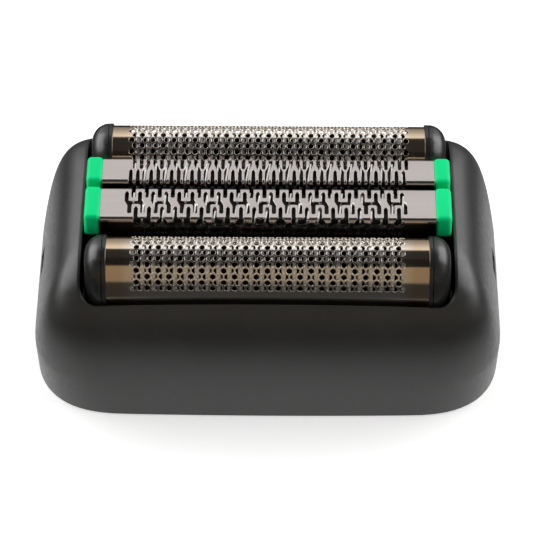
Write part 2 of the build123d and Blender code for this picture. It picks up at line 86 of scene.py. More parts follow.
# Foil frames: domed end caps with a collar and a fine groove, and the bars that join them
CAP_LENGTH = 2.8
CAP_PROUD = 0.25
COLLAR = 0.55
COLLAR_BEVEL = (0.08, 0.1)  # along X and inwards
GROOVE = (0.07, 0.1)  # half its width, and its depth
DOME_START = 0.1  # from the middle of the groove
CAP_ROUNDING = 2.3
CAP_RINGS = 14
CAP_SEGMENTS = 56
RAIL = (11.5, 14.2)
RAIL_INSET = 0.2
RAIL_WIDTH = 1.0
RAIL_FOOT = 1.0
BAR_SHELF = (9.5, 10.9)
BAR_SHELF_START = 14.2
BAR_SHELF_HALF = 2.3
BAR_SHELF_LAP = 0.2

# Blades
BLADE_COUNT = 26
BLADE_PITCH = 1.35
BLADE_THICKNESS = 0.5
BLADE_GAP = 0.17
BLADE_HALF_ANGLE = radians(75)
BLADE_SEAT_HALF = 2.3
BLADE_STEPS = 14

# Trimmer combs, cut from flat sheet and folded; places across the sheet count from its middle line
COMB_THICKNESS = 0.3
COMB_FOLD = 0.5
FOLD_STEPS = 4
COMB_EDGE = 0.05
SLOT_HALF = 0.25
SLOT_DOWN = 0.75  # how far open slots run down the flanges
SLOT_REACH = 1.0  # a slot plays no part farther along X
CONTOUR_STEP = 0.045
CONTOUR_SLACK = 0.004
MEANDER_ROUNDING = 0.2  # in the corners where one slot runs into another
PLAIN_ROUNDING = 0.02
MEANDER_PITCH = 3.31
MEANDER_COUNT = 11
MEANDER_SHIFT = 0.39
MEANDER_OFFSET = -0.27
MEANDER_LEG = (1.78, 0.5, -0.35, -1.58)  # where a leg starts, steps aside and ends
MEANDER_BAR = 0.07  # the bar between two legs
MEANDER_BAR_HALF = 0.24
MEANDER_BAR_INSET = 0.1
MEANDER_OPEN = (1.24, -0.93)  # inner ends of the open slots
NOTCH_HALF = 0.62
NOTCH_DOWN = (0.12, 0.13)
LOBE_HALF = 0.42
LOBE_INSET = 0.28
LOBE_RISE = 0.2
LOBE_DOWN = 0.34
TOOTH_DOWN = 0.26
FORK_PITCH = 2.6
FORK_OFFSET = -0.6
FORK_COUNT = 13
FORK_TOP = 0.865  # from a fork's middle to the slots beside its arms
FORK_STEM = 0.4  # and to those beside its stem
FORK_BENDS = (1.1, -0.3)
FORK_HALVES = (0.27, 0.23)
FORK_UPPER = (0.36, 0.3, 0.2)  # inner end of a short slot, and its half widths from the fold to there
FORK_LOWER = (-0.24, 0.31, 0.2)

# Cutters under the combs
CUTTER_THICKNESS = 0.25
CUTTER_FOLD = 0.3
CUTTER_TOOTH = 0.24
CUTTER_EDGE = 0.04
CUTTER_SLANT = 0.14
CUTTER_EASE = 1.6  # how fast the slant falls off to the ends
CUTTER_SLOTS = 28
CUTTER_PITCH = 1.31
CUTTER_CORNER = 0.4
CUTTER_DOWN = 0.3

# Trimmer end caps: green heads, black below them
GREEN_BOTTOM = 19.8
GREEN_LENGTH = 2.05
GREEN_LEG_INSET = 0.4
CAP_CORNER = 0.55
CAP_CORNER_LEAST = 0.01
CAP_CORNER_STEPS = 6
CAP_LAP = 0.1
PLUG_LENGTH = 1.2
PLUG_INSET = 0.35
SHELF = (11.85, 13.25)
LUG = (12.4, 13.9)
LUG_HALF = 1.2
COMB_SHADE_TOP = 22.3  # painted shade: the combs are painted dark below this, on their flanges and slot walls inside the trimmers

SIDES = {"left": -1, "right": 1}

# Springs and inner solids
SPRING_HALF = 0.1
SPRING_BEND = 0.55
SPRING_STEPS = 12
INNER_EDGE = 0.12
INNER_EDGE_STEPS = 3
WELD_GAP = 0.002

# Angles in degrees above which an edge is hard, and for the inner solids is rounded
HOUSING_SHARP = 32
MOULDING_SHARP = 40
STEEL_SHARP = 50
INNER_ROUNDED = 35

# Housing skin, as in the solids
CROWN_TOP = 21.43
END_WAIST = 6.3
END_POWER = 1.03
END_FULLNESS = 11.7
SIDE_WAIST = 4.0
SIDE_POWER = 3.36
SIDE_FULLNESS = 3.53
SIDE_BOW = 0.5
QUARTERS = ((1, 1), (-1, 1), (-1, -1), (1, -1))  # signs of X and Y
BOW_SHARE = 0.25  # of its distance from the middle, the most that the bow moves a place
FOOT_CORNER = 12.1
CROWN_CORNER = 3.5
CORNER_SQUARENESS = 2.65
WINDOW = (23.4, 15.027, 2.0)
POCKET = (26.1, 15.927, 5.0)
LEDGE = 14.0
LIP = 0.35
LIP_DROP = 0.3
LIP_TURNS = (0.35, 0.7, 1.0)
GRIP_DEPTH = 1.6
GRIP_HALF = 2.0
GRIP = (8.4, 10.8)
LATCH_DEPTH = 0.9
LATCH_HALF = 4.0
LATCH = (1.6, 3.6)
HOOK_PLACE = 12.0
HOOK_HALF = 2.62
HOOK_END = 16.39
HOOK = (4.88, 6.12)
CUT_LAP = 0.5
CORNER_COLUMNS = 18
LONG_COLUMNS = 26
SHORT_COLUMNS = 16
SKIN_ROWS = 44
SKIN_CROWDING = 1.7  # the rows crowd towards the rim
HALVINGS = 50
RIM_MARGIN = 1e-6

# Camera, worked out from the photograph's perspective
FRAME_PIXELS = 533
SENSOR = 36
FOCAL_PIXELS = 3042.7
CAMERA_DISTANCE = 388.0
CAMERA_ELEVATION = radians(44.4)
CAMERA_YAW = radians(0.4)
TARGET = Vector((0, 0, 19.4))
TARGET_PIXEL = (267.65, 208.35)
CAMERA_CLIP = (0.01, 10)  # in metres

# Studio: walls by their share of the half turn from behind (0) over the top to the front (1)
DARK, WARM = (0.03, 0.031, 0.033), (0.31, 0.25, 0.185)
WALLS = ((0.0, (0.25, 0.25, 0.25)), (0.16, (0.5, 0.5, 0.5)), (0.25, (0.78, 0.77, 0.76)), (0.32, (1, 1, 1)),
         (0.35, (1, 1, 1)), (0.375, DARK), (0.745, DARK), (0.775, WARM), (1.0, WARM))
SIDE_WALLS = ((0.0, (1, 1, 1)), (0.36, (1, 1, 1)), (0.42, (0.1, 0.1, 0.1)), (0.75, (0.1, 0.1, 0.1)),
              (1.0, WARM))
SIDE_TURN = (0.15, 0.5)  # share of a direction along X at which the side walls begin and are full
FLOOR_REACH = 1500
FLOOR_DROP = 0.2
FLOOR_GLOW = 0.5
FLOOR_COVER = (10, 5)  # the glow ends this far in under the object, over this width
FLOOR_FADE = (4, 28)  # how far from the object it fades in reflections
FLOOR_FAR = 0.04  # and to what
CARD_DISTANCE = 50
CARD_SPAN = (radians(25), radians(50))  # above the horizon, seen from the rear foil
CARD_HALF = 200

# Softboxes, in watts and metres
LAMP_POWER = 2.2
LAMP_SIZE = (0.6, 0.4)
LAMP_PLACE = (0.405, 0.086, 0.28)
LAMP_AIM = (0, 0, 0.015)

# Guards for the sums
TINY = 1e-9
FAR = 9.0
MITRE_LIMIT = 0.4
CUT_TOLERANCE = 1e-5


def steps(whole, count):
    """Even steps from nothing to the whole."""
    return [whole * k / count for k in range(count + 1)]


def spread(count, pitch):
    """Places of a row, centred."""
    return [(k - (count - 1) / 2) * pitch for k in range(count)]


def box_of(node):
    """Lowest and highest corner of a CAD node in millimetres."""
    return [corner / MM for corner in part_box(node)]


def middle_y(node):
    low, high = box_of(node)
    return (low.y + high.y) / 2


def new_mesh(name, points, faces):
    """Mesh from points in millimetres."""
    mesh = bpy.data.meshes.new(name)
    mesh.from_pydata([Vector(point) * MM for point in points], [], faces)
    return mesh


def new_object(name, data):
    made = bpy.data.objects.new(name, data)
    bpy.context.scene.collection.objects.link(made)
    return made


def smooth_shade(mesh, sharp):
    """Smooth shading, with hard edges where faces meet at more than an angle in degrees."""
    mesh.shade_smooth()
    mesh.set_sharp_from_angle(angle=radians(sharp))


def add_piece(name, points, faces, body, nodes, slot, normals=None, sharp=180):
    """New mesh piece from points in millimetres, riding on a body and standing for CAD nodes."""
    mesh = new_mesh(name, points, faces)
    smooth_shade(mesh, sharp)
    if normals:
        mesh.normals_split_custom_set_from_vertices([Vector(n).normalized() for n in normals])
    piece = new_object(name, mesh)
    mesh.materials.append(materials[slot])
    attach(piece, body)
    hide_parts(*nodes)
    return piece


# Materials

PLASTICS = {  # dark and light tone, roughness, grain in cells per millimetre, its depth, gloss
    "housing_black": ((0.021, 0.021, 0.0205), (0.027, 0.027, 0.0264), 0.36, 7.0, 0.004, 0.6),
    "frame_black": ((0.010, 0.010, 0.010), (0.014, 0.014, 0.014), 0.3, 5.0, 0.0004, 0.75),
    # painted shade: dark plastic, painted darker still for the shade inside the housing and trimmers
    "inner_grey": ((0.007, 0.007, 0.007), (0.012, 0.012, 0.012), 0.55, 6.0, 0.003, 0.25),
    "cap_green": ((0.0, 0.66, 0.22), (0.0, 0.71, 0.245), 0.4, 5.0, 0.0008, 0.15),
}
STEELS = {  # dark and light tone, roughness, how the marks are drawn out, their depth
    "foil_metal": ((0.70, 0.545, 0.39), (0.77, 0.60, 0.43), 0.12, (0.15, 1, 1), 0.0004),
    "comb_steel": ((0.63, 0.585, 0.565), (0.68, 0.63, 0.61), 0.2, (0.1, 1, 1), 0.0003),
    "blade_steel": ((0.92, 0.91, 0.89), (0.98, 0.97, 0.95), 0.3, (1, 0.2, 0.2), 0.0006),
    "spring_steel": ((0.5, 0.5, 0.5), (0.6, 0.6, 0.6), 0.25, (0.2, 1, 1), 0.0008),
}
DARK_BELOW = {  # height, half the width of the change, colour below
    "cap_green": (GREEN_BOTTOM, 0.04, (0.01, 0.01, 0.01)),
    # painted shade on the combs' flanges and slot walls
    "comb_steel": (COMB_SHADE_TOP, 0.1, (0.1, 0.095, 0.09)),
}
NOISE_SPAN = (0.3, 0.7)  # most of a noise value lies in here
PLASTIC_TONE, PLASTIC_GLOSS = 0.12, 1.5  # noise cells per millimetre
GLOSS_SPREAD = (-0.05, 0.06)
STEEL_TONE, STEEL_MARKS = 0.5, 14.0
MARK_SPREAD = (0.8, 1.25)


def add_node(tree, kind, inputs=(), **settings):
    """New shader node; its inputs, in their order or by name, are linked to sockets or set to values."""
    node = tree.nodes.new("ShaderNode" + kind)
    for name, setting in settings.items():
        setattr(node, name, setting)
    for key, value in inputs.items() if isinstance(inputs, dict) else enumerate(inputs):
        if isinstance(value, bpy.types.NodeSocket):
            tree.links.new(value, node.inputs[key])
        else:
            node.inputs[key].default_value = value
    return node


def math_node(tree, operation, *values):
    return add_node(tree, "Math", values, operation=operation).outputs[0]


def map_range(tree, value, start, end, low=0.0, high=1.0, kind="LINEAR"):
    """Maps a value's span from start to end onto the span from low to high."""
    node = add_node(tree, "MapRange", (value, start, end, low, high), interpolation_type=kind)
    return node.outputs["Result"]


def mix_colours(tree, share, first, second):
    inputs = {"Factor": share, "A": first, "B": second}
    return add_node(tree, "Mix", inputs, data_type="RGBA").outputs["Result"]


def colour_ramp(tree, value, stops):
    """Colour that a value picks between stops."""
    ramp = add_node(tree, "ValToRGB", (value,))
    elements = ramp.color_ramp.elements
    while len(elements) < len(stops):
        elements.new(0.5)
    for element, (position, colour) in zip(elements, stops):
        element.position = position
        element.color = (*colour, 1)
    return ramp.outputs["Color"]


def object_place(tree, axis):
    """Place along one axis of the object."""
    place = add_node(tree, "TexCoord").outputs["Object"]
    return add_node(tree, "SeparateXYZ", (place,)).outputs[axis]


def object_noise(tree, scale, detail=3.0, stretch=(1, 1, 1)):
    """Noise fixed to the object, with its scale in cells per millimetre."""
    place = add_node(tree, "TexCoord").outputs["Object"]
    scales = [scale / MM * s for s in stretch]
    mapping = add_node(tree, "Mapping", {"Vector": place, "Scale": scales})
    inputs = {"Vector": mapping.outputs["Vector"], "Scale": 1.0, "Detail": detail}
    return add_node(tree, "TexNoise", inputs).outputs["Fac"]


def shader(name, colour, metallic=0.0, roughness=0.5):
    material = bpy.data.materials.new(name)
    material.use_nodes = True
    bsdf = material.node_tree.nodes["Principled BSDF"]
    bsdf.inputs["Base Color"].default_value = (*colour, 1)
    bsdf.inputs["Metallic"].default_value = metallic
    bsdf.inputs["Roughness"].default_value = roughness
    return material, bsdf


def vary_roughness(tree, bsdf, value, low, high):
    """Drives the roughness between low and high by a noise value."""
    tree.links.new(map_range(tree, value, *NOISE_SPAN, low, high), bsdf.inputs["Roughness"])


def tint(tree, bsdf, value, *tones):
    """Blends the base colour between two tones by a noise value."""
    tree.links.new(colour_ramp(tree, value, list(zip(NOISE_SPAN, tones))), bsdf.inputs["Base Color"])


def bump(tree, bsdf, value, depth):
    """Bump of a depth in millimetres."""
    relief = add_node(tree, "Bump", {"Strength": 1.0, "Distance": depth * MM, "Height": value})
    tree.links.new(relief.outputs["Normal"], bsdf.inputs["Normal"])


def plastic(name, dark, light, roughness, grain, depth, gloss):
    """Moulded plastic: fine spark-eroded grain, with a slow change of tone and gloss."""
    material, bsdf = shader(name, light, roughness=roughness)
    tree = material.node_tree
    bsdf.inputs["Specular IOR Level"].default_value = gloss
    tint(tree, bsdf, object_noise(tree, PLASTIC_TONE), dark, light)
    spread = [roughness + change for change in GLOSS_SPREAD]
    vary_roughness(tree, bsdf, object_noise(tree, PLASTIC_GLOSS), *spread)
    bump(tree, bsdf, object_noise(tree, grain, detail=2.0), depth)
    return material


def steel(name, dark, light, roughness, stretch, depth):
    """Metal with fine marks drawn out along one direction."""
    material, bsdf = shader(name, light, metallic=1.0, roughness=roughness)
    tree = material.node_tree
    tint(tree, bsdf, object_noise(tree, STEEL_TONE, stretch=stretch), dark, light)
    marks = object_noise(tree, STEEL_MARKS, detail=4.0, stretch=stretch)
    vary_roughness(tree, bsdf, marks, *[roughness * share for share in MARK_SPREAD])
    bump(tree, bsdf, marks, depth)
    return material


def recolour(tree, value, span, colour):
    """Gives a material another colour below a span of a value, and blends the two over the span."""
    base = tree.nodes["Principled BSDF"].inputs["Base Color"]
    share = map_range(tree, value, span[0] * MM, span[1] * MM)
    tree.links.new(mix_colours(tree, share, (*colour, 1), base.links[0].from_socket), base)


materials = {name: plastic(name, *look) for name, look in PLASTICS.items()}
materials.update({name: steel(name, *look) for name, look in STEELS.items()})
foil_tree = materials["foil_metal"].node_tree
# Painted sheen: the foil is painted paler over its field of holes than at its plain ends
recolour(foil_tree, math_node(foil_tree, "ABSOLUTE", object_place(foil_tree, "X")), FIELD_END, FIELD_SHEEN_TONE)
# Colours below a height: painted shade on the combs, black on the caps below their green heads
for name, (height, soft, colour) in DARK_BELOW.items():
    tree = materials[name].node_tree
    recolour(tree, object_place(tree, "Z"), (height - soft, height + soft), colour)


# Sheet metal: a flat pattern of faces, bent, thickened inwards and given rounded cut edges

def edge_directions(flat, faces):
    """Open edges of a flat pattern, and at each of their points the direction out of the sheet."""
    used = {(face[k - 1], face[k]) for face in faces for k in range(len(face))}
    rim = [(a, b) for a, b in used if (b, a) not in used]
    out = {}
    for a, b in rim:
        along = flat[b] - flat[a]
        side = np.array((along[1], -along[0])) / max(np.linalg.norm(along), TINY)
        for point in (a, b):
            out.setdefault(point, []).append(side)
    for point, sides in out.items():
        total = np.sum(sides, axis=0)
        out[point] = total / max(np.dot(total, total) / len(sides), MITRE_LIMIT)
    return rim, out


def bend_sheet(flat, faces, bend, thickness, edge):
    """Points, faces and normals of the bent sheet; bend gives a point, its normal and its tangent."""
    flat = np.array(flat, float)
    rim, out = edge_directions(flat, faces)
    points, normals, solid = [], [], [tuple(face) for face in faces]

    def put(place, depth, normal):
        point, outward, along = bend(*place)
        points.append(point - outward * depth)
        normals.append(normal(outward, along))
        return len(points) - 1

    for place in flat:
        put(place, 0, lambda outward, along: outward)
    upper, lower, under = {}, {}, []
    for index, way in out.items():
        place = flat[index] + way * edge
        turned = lambda outward, along, way=way: Vector((way[0], 0, 0)) + along * way[1]
        upper[index] = put(place, edge, turned)
        lower[index] = put(place, thickness, turned)
    for index, place in enumerate(flat):
        shifted = place + out[index] * edge if index in out else place
        under.append(put(shifted, thickness, lambda outward, along: -outward))
    for a, b in rim:
        solid.append((b, a, upper[a], upper[b]))
        solid.append((upper[b], upper[a], lower[a], lower[b]))
    solid += [tuple(under[index] for index in reversed(face)) for face in faces]
    return points, solid, normals


def bend_over(profile, middle_y):
    """Bends a flat pattern over a profile, which gives y, z and the angle from upright."""
    def bend(x, s):
        y, z, angle = profile(s)
        normal = Vector((0, sin(angle), cos(angle)))
        tangent = Vector((0, cos(angle), -sin(angle)))
        return Vector((x, middle_y + y, z)), normal, tangent
    return bend


# Foils

foil_low, foil_high = box_of("front_foil")
foil_half = foil_high.x
foil_top = foil_high.z
crown_z = foil_top - CROWN_RADIUS
flank_y = -(FLANK_RADIUS - CROWN_RADIUS) * sin(CROWN_HALF_ANGLE)
flank_z = crown_z - (FLANK_RADIUS - CROWN_RADIUS) * cos(CROWN_HALF_ANGLE)
foil_half_width = flank_y + FLANK_RADIUS
crown_arc = CROWN_RADIUS * CROWN_HALF_ANGLE
arch_arc = crown_arc + FLANK_RADIUS * (pi / 2 - CROWN_HALF_ANGLE)
leg_arc = arch_arc + flank_z - foil_low.z


def arch(arc, offset=0.0):
    """Point (y, z) and angle from upright at this distance along the arch from its crown."""
    side = copysign(1, arc)
    reach = abs(arc)
    if reach <= crown_arc:
        angle = reach / CROWN_RADIUS
        radius = CROWN_RADIUS + offset
        return side * radius * sin(angle), crown_z + radius * cos(angle), side * angle
    angle = min(CROWN_HALF_ANGLE + (reach - crown_arc) / FLANK_RADIUS, pi / 2)
    radius = FLANK_RADIUS + offset
    fall = max(0.0, reach - arch_arc)
    y = side * (flank_y + radius * sin(angle))
    return y, flank_z + radius * cos(angle) - fall, side * angle


def foil_pattern(columns):
    """Flat foil with rows of six-sided holes, every other row set aside, cut into triangles."""
    points, edges, owners = [], [], []

    def line(places, hole=None):
        start = len(points)
        points.extend(places)
        owners.extend([hole] * len(places))
        edges.extend((start + k, start + k + 1) for k in range(len(places) - 1))
        if hole is not None:
            edges.append((len(points) - 1, start))

    hole_ring = []
    for k in range(HOLE_POINTS):
        angle = 2 * pi * k / HOLE_POINTS
        reach = HOLE_RADIUS * (HOLE_CORNER if k % 2 else 1) + HOLE_EDGE
        hole_ring.append((reach * cos(angle), reach * sin(angle)))
    field_half = columns * HOLE_PITCH / 2
    for row, place in enumerate(spread(HOLE_ROWS, HOLE_ROW_PITCH)):
        s = place + HOLE_SHIFT
        for column, x in enumerate(spread(columns - row % 2, HOLE_PITCH)):
            line([(x + px, s + ps) for px, ps in hole_ring], (row, column))
        for level in (s, s - HOLE_ROW_PITCH / 2):
            line([(-foil_half, level), (-field_half, level)])
            line([(field_half, level), (foil_half, level)])
    across = [-foil_half, *spread(columns + 1, HOLE_PITCH), foil_half]
    for side in (-1, 1):
        field = (HOLE_ROWS + FIELD_MARGIN) * HOLE_ROW_PITCH / 2 + side * HOLE_SHIFT
        skirt = [field + step for step in steps(arch_arc - field, SKIRT_STEPS)]
        for level in skirt + [leg_arc]:
            line([(x, side * level) for x in across])
        line([(side * foil_half, -leg_arc), (side * foil_half, leg_arc)])
    cut = delaunay_2d_cdt([Vector(point) for point in points], edges, [], 0, CUT_TOLERANCE)
    holes = [owners[given[0]] if given else None for given in cut[3]]
    metal = [face for face in cut[2] if holes[face[0]] is None or len({holes[k] for k in face}) > 1]
    return [(point.x, point.y) for point in cut[0]], metal


def make_foil(end):
    points, faces = foil_pattern(HOLE_COLUMNS[end])
    bend = bend_over(arch, middle_y(f"{end}_foil"))
    points, faces, normals = bend_sheet(points, faces, bend, SHEET_THICKNESS, HOLE_EDGE)
    add_piece(f"{end}_foil_sheet", points, faces, f"{end}_foil_unit", [f"{end}_foil"], "foil_metal", normals)


# Boxes and joined shapes

def box_mesh(low, high):
    """Points and faces of a block."""
    points = [(x, y, z) for x in (low[0], high[0]) for y in (low[1], high[1]) for z in (low[2], high[2])]
    faces = [(0, 1, 3, 2), (4, 6, 7, 5), (0, 4, 5, 1), (2, 3, 7, 6), (0, 2, 6, 4), (1, 5, 7, 3)]
    return points, faces


def side_block(side, start, stop, half, levels):
    """Block on one side of the middle, between two distances along X and between two levels."""
    span = sorted((side * start, side * stop))
    return box_mesh((span[0], -half, levels[0]), (span[1], half, levels[1]))


def join(parts):
    """Joins several (points, faces) into one."""
    points, faces = [], []
    for more_points, more_faces in parts:
        start = len(points)
        points += more_points
        faces += [tuple(index + start for index in face) for face in more_faces]
    return points, faces


def tube(rings, closed_ends=True):
    """Skin through rings of points, with its ends filled or left open."""
    count = len(rings[0])
    points = [point for ring in rings for point in ring]
    faces = []
    for ring in range(len(rings) - 1):
        for k in range(count):
            a, b = ring * count + k, ring * count + (k + 1) % count
            faces.append((a, b, b + count, a + count))
    if closed_ends:
        faces.append(tuple(reversed(range(count))))
        faces.append(tuple(range(len(points) - count, len(points))))
    return points, faces


# Foil frames

frame_low, frame_high = box_of("front_foil_frame")
cap_end = foil_half + CAP_LENGTH
leg_foot = frame_low.z


def cap_ring(x, offset):
    """Arch outline of an end cap at a place along X."""
    arcs = [arch_arc * (1 - share) for share in steps(2, CAP_SEGMENTS)]
    ring = [arch(arc, offset)[:2] for arc in arcs]
    half = ring[0][0]
    return [(x, half, leg_foot)] + [(x, y, z) for y, z in ring] + [(x, -half, leg_foot)]


def end_cap(side):
    """Domed cap: a collar next to the foil, a fine groove, then the rounded end."""
    collar = ((0, COLLAR_BEVEL[1]), (COLLAR_BEVEL[0], 0), (COLLAR - GROOVE[0], 0), (COLLAR, GROOVE[1]),
              (COLLAR + GROOVE[0], 0))
    rings = [cap_ring(side * (foil_half + along), CAP_PROUD - inset) for along, inset in collar]
    for turn in steps(pi / 2, CAP_RINGS):
        x = cap_end - CAP_ROUNDING * (1 - sin(turn))
        inset = CAP_ROUNDING * (1 - cos(turn))
        if x > foil_half + COLLAR + DOME_START:
            rings.append(cap_ring(side * x, CAP_PROUD - inset))
    return tube(rings if side < 0 else [ring[::-1] for ring in rings])


def frame_bars():
    """Rails, shelves and lugs, as in the solids."""
    rail_out = foil_half_width - RAIL_INSET
    rail_in = rail_out - RAIL_WIDTH
    parts = []
    for side in (-1, 1):
        for out, low, high in ((rail_out, *RAIL), (foil_half_width, RAIL[0], RAIL[0] + RAIL_FOOT)):
            span = sorted((side * rail_in, side * out))
            parts.append(box_mesh((-foil_half, span[0], low), (foil_half, span[1], high)))
        parts.append(side_block(side, BAR_SHELF_START, foil_half + BAR_SHELF_LAP, BAR_SHELF_HALF, BAR_SHELF))
        parts.append(side_block(side, foil_half + CAP_LENGTH / 2, frame_high.x, LUG_HALF, LUG))
    return parts


def make_foil_frame(end):
    """Domed caps with the rails that join them."""
    points, faces = join([end_cap(side) for side in (-1, 1)] + frame_bars())
    y = middle_y(f"{end}_foil_frame")
    points = [(px, py + y, pz) for px, py, pz in points]
    add_piece(f"{end}_foil_caps", points, faces, f"{end}_foil_unit", [f"{end}_foil_frame"], "frame_black",
              sharp=MOULDING_SHARP)


# Blades

def make_blades(end):
    """Row of arched blades with square cutting edges."""
    y, seat = middle_y(f"{end}_blades"), box_of(f"{end}_blades")[0].z
    blade_arc = crown_arc + FLANK_RADIUS * (BLADE_HALF_ANGLE - CROWN_HALF_ANGLE)
    arcs = [blade_arc * (1 - share) for share in steps(2, 2 * BLADE_STEPS)]
    outline = [arch(arc, -BLADE_GAP)[:2] for arc in arcs]
    outline = [(BLADE_SEAT_HALF, seat)] + outline + [(-BLADE_SEAT_HALF, seat)]
    parts = []
    for x in spread(BLADE_COUNT, BLADE_PITCH):
        sides = (x - BLADE_THICKNESS / 2, x + BLADE_THICKNESS / 2)
        parts.append(tube([[(px, y + py, pz) for py, pz in reversed(outline)] for px in sides]))
    add_piece(f"{end}_blade_row", *join(parts), f"{end}_blade_block", [f"{end}_blades"], "blade_steel",
              sharp=STEEL_SHARP)


# Trimmer combs

def capsule_distance(x, s, start, end, halves):
    """Distance from a straight slot with round ends, which may widen along its run; negative inside."""
    dx, ds = x - start[0], s - start[1]
    run_x, run_s = end[0] - start[0], end[1] - start[1]
    along = np.clip((dx * run_x + ds * run_s) / max(run_x ** 2 + run_s ** 2, TINY), 0, 1)
    half = halves[0] + (halves[1] - halves[0]) * along
    return np.hypot(dx - along * run_x, ds - along * run_s) - half


def slot_distance(slots, rounding):
    """Distance function of all the slots together, with rounded corners where they meet."""
    def distance(x, s):
        best = np.full(np.shape(x), FAR)
        for runs in slots:
            ends = [place[0] for run in runs for place in run[:2]]
            near = (x > min(ends) - SLOT_REACH) & (x < max(ends) + SLOT_REACH)
            slot = np.min([capsule_distance(x[near], s[near], *run) for run in runs], axis=0)
            shared = np.maximum(1 - np.abs(best[near] - slot) / rounding, 0)
            best[near] = np.minimum(best[near], slot) - shared ** 2 * rounding / 4
        return best
    return distance


def path(points, half=SLOT_HALF, last=None):
    """Slot through these points; with a last half-width, each run tapers to that."""
    return [(a, b, (half, last or half)) for a, b in zip(points, points[1:])]


def scallops(left, right, fold_end):
    """Rounded notches in the front flange: one round notch, or a wide one with a tooth hanging into it."""
    if right is None:
        return [path([(left, -fold_end - down) for down in NOTCH_DOWN], NOTCH_HALF)]
    near, far, middle = left + LOBE_INSET, right - LOBE_INSET, (left + right) / 2
    rise, down = LOBE_RISE - fold_end, -fold_end - LOBE_DOWN
    lobes = path([(near, rise), (middle, -fold_end - TOOTH_DOWN), (far, rise)], LOBE_HALF)
    return [lobes + path([(near, down), (far, down)], LOBE_HALF)]


def meander_slots(fold_end):
    """Slots of the front comb: H shapes that step sideways, with open slots between them."""
    slots, opens = [], []
    quarter, shift = MEANDER_PITCH / 4, MEANDER_SHIFT / 2
    for index, place in enumerate(spread(MEANDER_COUNT, MEANDER_PITCH)):
        x = place + MEANDER_OFFSET
        for leg in (x - quarter, x + quarter):
            places = (leg - shift, leg - shift, leg + shift, leg + shift)
            slots.append(path(list(zip(places, MEANDER_LEG))))
        bar = quarter - MEANDER_BAR_INSET
        slots.append(path([(x - bar, MEANDER_BAR), (x + bar, MEANDER_BAR)], MEANDER_BAR_HALF))
        opens.append(x)
        if index < MEANDER_COUNT - 1:
            opens.append(x + 2 * quarter)
    for number, x in enumerate(opens):
        slots.append(path([(x - shift, MEANDER_OPEN[0]), (x - shift, fold_end + SLOT_DOWN)]))
        slots.append(path([(x + shift, MEANDER_OPEN[1]), (x + shift, -fold_end)]))
        if number % 3 == 2 or number == len(opens) - 1:
            slots += scallops(x + shift, None, fold_end)
        elif number % 3 == 0:
            slots += scallops(x + shift, opens[number + 1] + shift, fold_end)
    return slots


def fork_slots(fold_end):
    """Slots of the rear comb: they leave upright and upturned forks in turn."""
    down = fold_end + SLOT_DOWN
    slots = []
    for index in range(FORK_COUNT + 1):
        x = (index - (FORK_COUNT - 1) / 2) * FORK_PITCH + FORK_OFFSET
        uppers, lowers, throughs = [x], [x - FORK_PITCH / 2], []
        if index in (0, FORK_COUNT):
            uppers.append(x - FORK_TOP)
            lowers.append(x - FORK_STEM)
        else:
            throughs.append(-1)
        if index < FORK_COUNT:
            throughs.append(1)
        for places, outer, (inner, *halves) in ((uppers, down, FORK_UPPER), (lowers, -down, FORK_LOWER)):
            slots += [path([(place, outer), (place, inner)], *halves) for place in places]
        for side in throughs:
            top, stem = x + side * FORK_TOP, x + side * FORK_STEM
            bend, turn = (top, FORK_BENDS[0]), (stem, FORK_BENDS[1])
            slots.append(path([(top, down), bend], *FORK_HALVES)
                         + path([bend, turn, (stem, -down)], FORK_HALVES[1]))
    return slots


def contours(field, xs, ss):
    """Closed loops along which a sampled field changes sign."""
    inside = field < 0
    follow, place = {}, {}

    def crossing(i, j, k, l):
        key = (i, j, k, l) if (i, j) < (k, l) else (k, l, i, j)
        if key not in place:
            share = field[i, j] / (field[i, j] - field[k, l])
            place[key] = (xs[i] + share * (xs[k] - xs[i]), ss[j] + share * (ss[l] - ss[j]))
        return key

    count = inside[:-1, :-1].astype(int) + inside[1:, :-1] + inside[1:, 1:] + inside[:-1, 1:]
    for i, j in zip(*np.nonzero((count > 0) & (count < 4))):
        corners = 2 * [(i, j), (i + 1, j), (i + 1, j + 1), (i, j + 1)]
        for k in range(4):
            if inside[corners[k]] and not inside[corners[k + 1]]:
                ahead = k + 1
                while not inside[corners[ahead + 1]]:
                    ahead += 1
                leave = crossing(*corners[k], *corners[k + 1])
                follow[leave] = crossing(*corners[ahead], *corners[ahead + 1])
    loops = []
    while follow:
        key, onward = follow.popitem()
        loop = [place[key]]
        while onward != key:
            loop.append(place[onward])
            onward = follow.pop(onward)
        loops.append(np.array(loop))
    return loops


def thin(loop, slack):
    """Leaves out the points of a loop that lie close to the line without them."""
    half = len(loop) // 2
    kept, stack = {0, half}, [(0, half), (half, len(loop))]
    closed = np.vstack([loop, loop[:1]])
    while stack:
        start, end = stack.pop()
        if end - start < 2:
            continue
        run = closed[end] - closed[start]
        between = closed[start + 1:end] - closed[start]
        away = np.abs(between[:, 0] * run[1] - between[:, 1] * run[0]) / max(np.linalg.norm(run), TINY)
        far = int(np.argmax(away))
        if away[far] > slack:
            middle = start + 1 + far
            kept.add(middle)
            stack += [(start, middle), (middle, end)]
    return loop[sorted(kept)]


